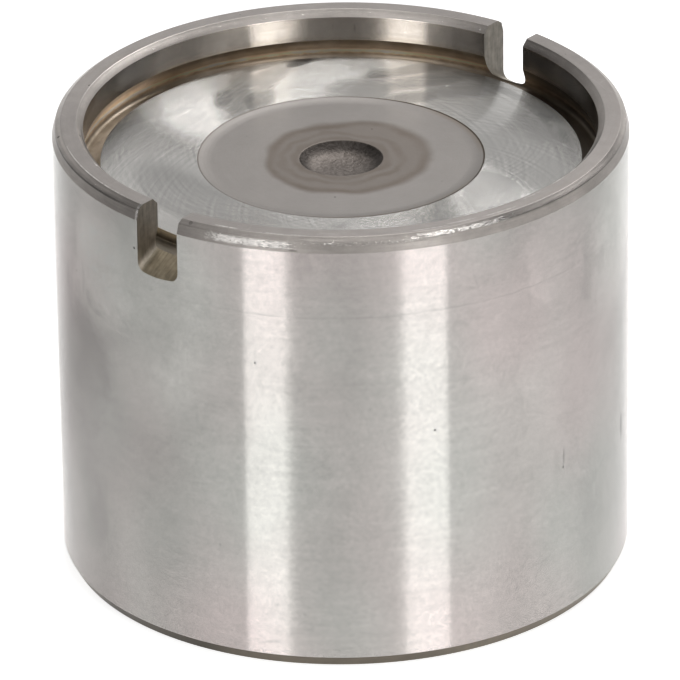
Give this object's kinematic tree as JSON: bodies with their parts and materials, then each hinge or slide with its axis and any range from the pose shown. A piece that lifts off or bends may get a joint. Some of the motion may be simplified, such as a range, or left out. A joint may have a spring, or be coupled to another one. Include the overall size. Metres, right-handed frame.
{
  "type": "bucket tappet",
  "caption": "Ground steel bucket tappet: an inverted cup with a shallow shim recess in its crown, pry slots through the rim and a pad for the valve stem inside.",
  "frame": {"origin": "on the axis, in the plane of the open end of the skirt", "axes": "+Z along the axis, out of the crown towards the cam; X along the two pry slots"},
  "size_m": [0.037, 0.037, 0.0301],
  "materials": {
    "ground_steel": "ground and turned bare steel, lightly stained"
  },
  "bodies": {
    "root": {"tappet_body": "ground_steel"}
  },
  "joints": []
}
